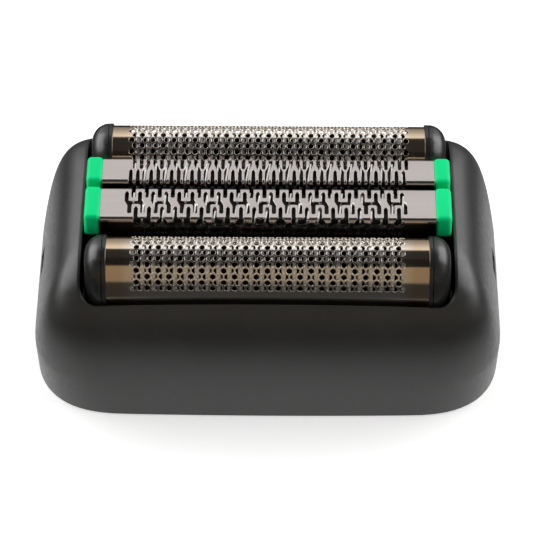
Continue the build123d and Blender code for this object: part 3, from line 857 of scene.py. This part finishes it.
def slotted_pattern(half_length, half_width, folds, slots, rounding, edge):
    """Flat rectangle with slots, cut along the fold lines and into triangles."""
    distance = slot_distance(slots, rounding)
    xs = np.arange(-half_length, half_length, CONTOUR_STEP)
    ss = np.arange(-half_width, half_width, CONTOUR_STEP)
    grid = np.meshgrid(xs, ss, indexing="ij")
    loops = [thin(loop, CONTOUR_SLACK) for loop in contours(distance(*grid) - edge, xs, ss)]
    border = [(x * half_length, s * half_width) for x, s in ((-1, -1), (1, -1), (1, 1), (-1, 1))]
    points, edges = [], []
    for loop in [border] + loops:
        start = len(points)
        points += [tuple(point) for point in loop]
        edges += [(start + k, start + (k + 1) % len(loop)) for k in range(len(loop))]
    for fold in folds:
        for s in (-fold, fold):
            points += [(-half_length, s), (half_length, s)]
            edges.append((len(points) - 2, len(points) - 1))
    cut = delaunay_2d_cdt([Vector(point) for point in points], edges, [], 0, CUT_TOLERANCE)
    flat = np.array([(point.x, point.y) for point in cut[0]])
    middles = np.array([flat[list(face)].mean(axis=0) for face in cut[2]])
    solid = distance(middles[:, 0], middles[:, 1]) > edge
    return flat, [face for face, keep in zip(cut[2], solid) if keep]


def channel_profile(top, width, fold):
    """Profile of a channel that is open below, and its fold lines."""
    flat_half = width / 2 - fold
    fold_end = flat_half + fold * pi / 2

    def profile(s):
        side, reach = copysign(1, s), abs(s)
        angle = min(max(reach - flat_half, 0) / fold, pi / 2)
        y = min(reach, flat_half) + fold * sin(angle)
        z = top - fold * (1 - cos(angle)) - max(0, reach - fold_end)
        return side * y, z, side * angle

    return profile, [flat_half + step for step in steps(fold * pi / 2, FOLD_STEPS)]


def channel_piece(name, node, body, slot, fold, thickness, edge, slots_of, rounding):
    """Slotted sheet folded into the channel that a CAD node has."""
    low, high = box_of(node)
    profile, folds = channel_profile(high.z, high.y - low.y, fold)
    bend = bend_over(profile, middle_y(node))
    half_width = folds[-1] + high.z - low.z - fold
    flat, faces = slotted_pattern(high.x, half_width, folds, slots_of(folds[-1]), rounding, edge)
    points, faces, normals = bend_sheet(flat, faces, bend, thickness, edge)
    add_piece(name, points, faces, body, [node], slot, normals)


def cutter_slots(fold_end):
    """Slanted slots across the top of a cutter that leave its thin teeth; those at its ends slant less."""
    half = (CUTTER_PITCH - CUTTER_TOOTH) / 2
    narrow = min(half, CUTTER_CORNER)
    reach = fold_end + CUTTER_DOWN
    slots = []
    for k in range(CUTTER_SLOTS):
        step = k - (CUTTER_SLOTS - 1) / 2
        lean = CUTTER_SLANT * reach * (1 - CUTTER_EASE * abs(step) / CUTTER_SLOTS)
        for side in (-1, 1):
            place = step * CUTTER_PITCH + side * (half - narrow)
            slots.append(path([(place - lean, -reach), (place + lean, reach)], narrow))
    return slots


COMB_SLOTS = {"front": (meander_slots, MEANDER_ROUNDING), "rear": (fork_slots, PLAIN_ROUNDING)}


def make_trimmer(end):
    channel_piece(f"{end}_comb_sheet", f"{end}_trimmer_comb", f"{end}_trimmer_unit", "comb_steel",
                  COMB_FOLD, COMB_THICKNESS, COMB_EDGE, *COMB_SLOTS[end])
    channel_piece(f"{end}_cutter_sheet", f"{end}_trimmer_cutter", f"{end}_trimmer_drive", "blade_steel",
                  CUTTER_FOLD, CUTTER_THICKNESS, CUTTER_EDGE, cutter_slots, PLAIN_ROUNDING)


# Housing

housing_high = box_of("housing")[1]


def rounded_distance(x, y, outline):
    """Distance of a place in plan from a rounded rectangle; negative inside."""
    half_x, half_y, corner = outline
    dx, dy = abs(x) - half_x + corner, abs(y) - half_y + corner
    return hypot(max(dx, 0), max(dy, 0)) + min(max(dx, dy), 0) - corner


def onto(x, y, outline):
    """Nearest place on a rounded rectangle."""
    half_x, half_y, corner = outline
    px = max(corner - half_x, min(half_x - corner, x))
    py = max(corner - half_y, min(half_y - corner, y))
    if px == x and py == y:
        if half_x - abs(x) < half_y - abs(y):
            return copysign(half_x, x), y
        return x, copysign(half_y, y)
    reach = hypot(x - px, y - py)
    return px + (x - px) / reach * corner, py + (y - py) / reach * corner


def skin_outline(z):
    """Half sizes and corner radius of the skin at a height."""
    end_rise = max(0.0, (z - END_WAIST) / (CROWN_TOP - END_WAIST))
    side_rise = max(0.0, (z - SIDE_WAIST) / (CROWN_TOP - SIDE_WAIST))
    half_x = housing_high.x * (1 - end_rise ** END_POWER) ** (1 / END_FULLNESS)
    half_y = housing_high.y * (1 - side_rise ** SIDE_POWER) ** (1 / SIDE_FULLNESS)
    return half_x, half_y, FOOT_CORNER + (CROWN_CORNER - FOOT_CORNER) * z / CROWN_TOP


def outline_columns():
    """Places round an outline: a quarter and a turn in a corner, or a share of a straight side."""
    columns = []
    for quarter in range(4):
        columns += [(quarter, turn, 0) for turn in steps(pi / 2, CORNER_COLUMNS)]
        count = SHORT_COLUMNS if quarter % 2 else LONG_COLUMNS
        columns += [(quarter, pi / 2, step / count) for step in range(1, count)]
    return columns


def outline_place(column, outline, squareness=2.0, bow=0.0):
    """Place in plan of a column on an outline."""
    quarter, turn, share = column
    half_x, half_y, radius = outline

    def corner(quarter, turn):
        side_x, side_y = QUARTERS[quarter]
        if quarter % 2:
            turn = pi / 2 - turn
        along = (max(cos(turn), 0) ** (2 / squareness), max(sin(turn), 0) ** (2 / squareness))
        return (side_x * (half_x - radius + radius * along[0]),
                side_y * (half_y - radius + radius * along[1]))

    x, y = corner(quarter, turn)
    if share:
        there = corner((quarter + 1) % 4, 0)
        x, y = x + (there[0] - x) * share, y + (there[1] - y) * share
    return x, y - copysign(min(bow * (x / half_x) ** 2, abs(y) * BOW_SHARE), y)


def skin_place(column, z):
    return outline_place(column, skin_outline(z), CORNER_SQUARENESS, SIDE_BOW)


def rim_height(column):
    """Height at which the skin comes within the lip of the window."""
    low, high = SIDE_WAIST, CROWN_TOP - RIM_MARGIN
    for _ in range(HALVINGS):
        z = (low + high) / 2
        if rounded_distance(*skin_place(column, z), WINDOW) > LIP:
            low = z
        else:
            high = z
    return low


def housing_mesh():
    """Skin up to the rim, rounded lip, window wall, ledge, pocket and bottom rim, in closed rings."""
    columns = outline_columns()
    tops = [rim_height(column) for column in columns]
    rings = []
    for share in steps(1, SKIN_ROWS):
        ring = []
        for column, top in zip(columns, tops):
            z = top * (1 - (1 - share) ** SKIN_CROWDING)
            ring.append((*skin_place(column, z), z))
        rings.append(ring)
    for turn in LIP_TURNS:
        ring = []
        for x, y, z in rings[SKIN_ROWS]:
            wx, wy = onto(x, y, WINDOW)
            angle = turn * pi / 2
            ring.append((x + (wx - x) * sin(angle), y + (wy - y) * sin(angle),
                         z - LIP_DROP * LIP * (1 - cos(angle))))
        rings.append(ring)
    rings.append([(x, y, LEDGE) for x, y, z in rings[-1]])
    rings.append([(*outline_place(column, POCKET), LEDGE) for column in columns])
    rings.append([(x, y, 0.0) for x, y, z in rings[-1]])
    points, faces = tube(rings, closed_ends=False)
    count = len(columns)
    last = len(points) - count
    for k in range(count):
        faces.append((last + k, last + (k + 1) % count, (k + 1) % count, k))
    return points, faces


def housing_cuts():
    """Blocks cut from the housing: grip recesses, latch pockets and the seats of the snap hooks."""
    parts = []
    for side in (-1, 1):
        end = housing_high.x
        parts.append(side_block(side, end - GRIP_DEPTH, end + 2 * CUT_LAP, GRIP_HALF, GRIP))
        parts.append(side_block(side, POCKET[0] - CUT_LAP, POCKET[0] + LATCH_DEPTH, LATCH_HALF, LATCH))
        span = sorted((side * (POCKET[1] - CUT_LAP), side * HOOK_END))
        for x in (-HOOK_PLACE, HOOK_PLACE):
            parts.append(box_mesh((x - HOOK_HALF, span[0], HOOK[0]), (x + HOOK_HALF, span[1], HOOK[1])))
    return parts


def cut_blocks(piece, parts):
    """Cuts blocks from a piece for good."""
    cutter = new_object("cut_blocks", new_mesh("cut_blocks", *join(parts)))
    cut = piece.modifiers.new("cut", "BOOLEAN")
    cut.object = cutter
    cut.solver = "EXACT"
    bpy.context.view_layer.update()
    evaluated = piece.evaluated_get(bpy.context.evaluated_depsgraph_get())
    piece.data = bpy.data.meshes.new_from_object(evaluated)
    piece.modifiers.clear()
    bpy.data.objects.remove(cutter)


def make_housing():
    points, faces = housing_mesh()
    piece = add_piece("housing_shell", points, faces, "shell", ["housing"], "housing_black")
    cut_blocks(piece, housing_cuts())
    smooth_shade(piece.data, HOUSING_SHARP)


# Trimmer end caps

def rounded_ring(low, high, inset, z):
    """Rounded rectangle in plan, drawn in by an inset."""
    half = [(b - a) / 2 - inset for a, b in zip(low, high)]
    middle = [(a + b) / 2 for a, b in zip(low, high)]
    corner = max(CAP_CORNER - inset, CAP_CORNER_LEAST)
    ring = []
    for quarter, side in enumerate(QUARTERS):
        for share in steps(1, CAP_CORNER_STEPS):
            turn = pi / 2 * (quarter + share)
            ring.append((middle[0] + side[0] * (half[0] - corner) + corner * cos(turn),
                         middle[1] + side[1] * (half[1] - corner) + corner * sin(turn), z))
    return ring


def rounded_block(low, high):
    """Block with rounded edges all round."""
    turns = steps(pi / 2, CAP_CORNER_STEPS)
    curve = [(CAP_CORNER * (1 - sin(turn)), CAP_CORNER * (1 - cos(turn))) for turn in turns]
    levels = [(inset, low[2] + rise) for inset, rise in curve]
    levels += [(inset, high[2] - fall) for fall, inset in curve]
    return tube([rounded_ring(low[:2], high[:2], inset, z) for inset, z in levels])


def make_trimmer_caps(end):
    """Rounded green heads on narrower legs, with the plug, the shelf and the stop lug of the solids."""
    comb_low, comb_high = box_of(f"{end}_trimmer_comb")
    y, half, comb_half = (comb_low.y + comb_high.y) / 2, (comb_high.y - comb_low.y) / 2, comb_high.x
    for side, sign in SIDES.items():
        node = f"{end}_trimmer_cap_{side}"
        low, high = box_of(node)
        near, far = sorted((abs(low.x), abs(high.x)))
        head_end = comb_half + GREEN_LENGTH
        cap_start = comb_half + CAP_LAP
        leg_levels = (low.z, GREEN_BOTTOM + CAP_CORNER)
        plug_levels = (SHELF[0], comb_high.z - PLUG_INSET)
        points, faces = join([
            rounded_block((comb_half, -half, GREEN_BOTTOM), (head_end, half, high.z)),
            side_block(1, comb_half, head_end, half - GREEN_LEG_INSET, leg_levels),
            side_block(1, comb_half - PLUG_LENGTH, cap_start, half - PLUG_INSET, plug_levels),
            side_block(1, near, cap_start, LUG_HALF, SHELF),
            side_block(1, cap_start, far, LUG_HALF, LUG)])
        points = [(sign * px, py + y, pz) for px, py, pz in points]
        if sign < 0:
            faces = [tuple(reversed(face)) for face in faces]
        add_piece(f"{node}_moulding", points, faces, f"{end}_trimmer_unit", [node], "cap_green",
                  sharp=MOULDING_SHARP)


# Springs

def spring_line(fold, tip, bottom, top):
    """Middle line of a leaf spring in X and Z: along its foot, round the bend and back over it."""
    line = [(tip, bottom + SPRING_HALF)]
    for turn in steps(pi, SPRING_STEPS):
        line.append((fold + SPRING_HALF + SPRING_BEND * (1 - sin(turn)),
                     bottom + SPRING_HALF + SPRING_BEND * (1 - cos(turn))))
    return line + [(tip, top - SPRING_HALF)]


def make_spring(end, unit, side):
    """Leaf spring that fills the box of its solid."""
    node = f"{end}_{unit}_spring_{side}"
    low, high = box_of(node)
    sign = SIDES[side]
    fold, tip = sorted((abs(low.x), abs(high.x)))
    line = spring_line(fold, tip, low.z, high.z)
    rings = []
    for k, (x, z) in enumerate(line):
        before, after = Vector(line[max(k - 1, 0)]), Vector(line[min(k + 1, len(line) - 1)])
        along = (after - before).normalized() * SPRING_HALF
        ring = [(x - along.y, low.y, z + along.x), (x - along.y, high.y, z + along.x),
                (x + along.y, high.y, z - along.x), (x + along.y, low.y, z - along.x)]
        rings.append([(sign * px, py, pz) for px, py, pz in ring])
    points, faces = tube(rings if sign < 0 else [ring[::-1] for ring in rings])
    piece = add_piece(f"{node}_strip", points, faces, "shell", [node], "spring_steel", sharp=STEEL_SHARP)
    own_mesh(piece)


def make_springs(end):
    for unit in ("foil", "trimmer"):
        for side in SIDES:
            make_spring(end, unit, side)


# Inner solids, shown as they are with softened edges and a near-black material: dark plastic with painted
# shade

def dress_node(node):
    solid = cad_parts[node]
    solid.data.materials.clear()
    solid.data.materials.append(materials["inner_grey"])
    weld = solid.modifiers.new("weld", "WELD")
    weld.merge_threshold = WELD_GAP * MM
    bevel = solid.modifiers.new("soften", "BEVEL")
    bevel.width = INNER_EDGE * MM
    bevel.segments = INNER_EDGE_STEPS
    bevel.limit_method = "ANGLE"
    bevel.angle_limit = radians(INNER_ROUNDED)
    split = solid.modifiers.new("split", "EDGE_SPLIT")
    split.split_angle = radians(MOULDING_SHARP)


# Studio

def distance_from_object(tree, inset=0.0):
    """Distance of a place on the floor from the rectangle that the object covers, drawn in by an inset."""
    squares = []
    for axis, half in (("X", cad_box[1][0]), ("Y", cad_box[1][1])):
        size = math_node(tree, "ABSOLUTE", object_place(tree, axis))
        beyond = math_node(tree, "MAXIMUM", math_node(tree, "SUBTRACT", size, half - inset), 0.0)
        squares.append(math_node(tree, "MULTIPLY", beyond, beyond))
    return math_node(tree, "SQRT", math_node(tree, "ADD", *squares))


def make_floor():
    """Pale floor: white to the camera but for the shadow, and white in reflections near the object."""
    corners = [(x * FLOOR_REACH, y * FLOOR_REACH, 0) for x, y in QUARTERS]
    mesh = new_mesh("floor", corners, [(0, 1, 2, 3)])
    floor = new_object("floor", mesh)
    floor.location.z = -FLOOR_DROP * MM
    material, bsdf = shader("floor_white", (0.8, 0.8, 0.8), roughness=0.9)
    mesh.materials.append(material)
    tree = material.node_tree

    def combine(kind, *parts):
        return add_node(tree, kind, parts).outputs[0]

    def glow(strength):
        return add_node(tree, "Emission", {"Strength": strength}).outputs[0]

    cover, width, fade_start, fade_end = [size * MM for size in FLOOR_COVER + FLOOR_FADE]
    bare = map_range(tree, distance_from_object(tree, cover), 0.0, width)
    near = map_range(tree, distance_from_object(tree), fade_start, fade_end, 1.0, FLOOR_FAR)
    rays = add_node(tree, "LightPath").outputs
    plain = bsdf.outputs[0]
    lit = combine("AddShader", plain, glow(math_node(tree, "MULTIPLY", bare, FLOOR_GLOW)))
    mirrored = glow(math_node(tree, "MULTIPLY", near, bare))
    seen = math_node(tree, "MAXIMUM", rays["Is Camera Ray"], rays["Is Transmission Ray"])
    direct = combine("MixShader", seen, plain, lit)
    whole = combine("MixShader", rays["Is Glossy Ray"], direct, mirrored)
    tree.links.new(whole, tree.nodes["Material Output"].inputs["Surface"])


def make_card():
    """Black card in front, so near that the rear foil mirrors it lower down than the front foil does."""
    y, z = middle_y("rear_foil"), box_of("rear_foil")[1].z
    rows = [(y - CARD_DISTANCE * cos(angle), z + CARD_DISTANCE * sin(angle)) for angle in CARD_SPAN]
    corners = [(side * CARD_HALF, *rows[k]) for side, k in ((-1, 0), (1, 0), (1, 1), (-1, 1))]
    mesh = new_mesh("black_card", corners, [(0, 1, 2, 3)])
    material, bsdf = shader("black_card", (0.02, 0.02, 0.02), roughness=1.0)
    bsdf.inputs["Specular IOR Level"].default_value = 0.0
    mesh.materials.append(material)
    card = new_object("black_card", mesh)
    card.visible_camera = card.visible_diffuse = card.visible_shadow = card.visible_transmission = False


def make_world():
    """Studio walls: bright behind the object, dark overhead, dim and warm in front."""
    world = bpy.data.worlds.new("studio")
    bpy.context.scene.world = world
    world.use_nodes = True
    tree = world.node_tree
    place = add_node(tree, "TexCoord").outputs["Generated"]
    along = add_node(tree, "SeparateXYZ", (place,)).outputs
    share = math_node(tree, "DIVIDE", math_node(tree, "ARCTAN2", along["Z"], along["Y"]), pi)
    walls, side_walls = [colour_ramp(tree, share, stops) for stops in (WALLS, SIDE_WALLS)]
    sideways = map_range(tree, math_node(tree, "ABSOLUTE", along["X"]), *SIDE_TURN, kind="SMOOTHSTEP")
    blend = mix_colours(tree, sideways, walls, side_walls)
    tree.links.new(blend, tree.nodes["Background"].inputs["Color"])


def make_lamps():
    for name, side in (("left_softbox", -1), ("right_softbox", 1)):
        data = bpy.data.lights.new(name, "AREA")
        data.shape = "RECTANGLE"
        data.size, data.size_y = LAMP_SIZE
        data.energy = LAMP_POWER
        lamp = new_object(name, data)
        lamp.location = (side * LAMP_PLACE[0], *LAMP_PLACE[1:])
        lamp.rotation_euler = (Vector(LAMP_AIM) - lamp.location).to_track_quat("-Z", "Y").to_euler()


def make_camera():
    data = bpy.data.cameras.new("camera")
    data.sensor_width = SENSOR
    data.lens = SENSOR * FOCAL_PIXELS / FRAME_PIXELS
    data.clip_start, data.clip_end = CAMERA_CLIP
    camera = new_object("camera", data)
    back = Vector((sin(CAMERA_YAW) * cos(CAMERA_ELEVATION),
                   -cos(CAMERA_YAW) * cos(CAMERA_ELEVATION), sin(CAMERA_ELEVATION)))
    camera.location = (TARGET + back * CAMERA_DISTANCE) * MM
    towards = (-back).to_track_quat("-Z", "Y")
    middle = (FRAME_PIXELS - 1) / 2
    aim = Vector((middle - TARGET_PIXEL[0], TARGET_PIXEL[1] - middle, -FOCAL_PIXELS))
    camera.rotation_mode = "QUATERNION"
    camera.rotation_quaternion = (towards @ aim).to_track_quat("-Z", "Y")
    bpy.context.scene.camera = camera


make_housing()
for make in (make_foil, make_foil_frame, make_blades, make_trimmer, make_trimmer_caps, make_springs):
    for end in ("front", "rear"):
        make(end)
for node in ("front_blade_carrier", "front_trimmer_slider", "rear_blade_carrier", "rear_trimmer_slider",
             "base_frame"):
    dress_node(node)
make_floor()
make_card()
make_world()
make_lamps()
make_camera()

bpy.context.scene.view_settings.view_transform = "Standard"
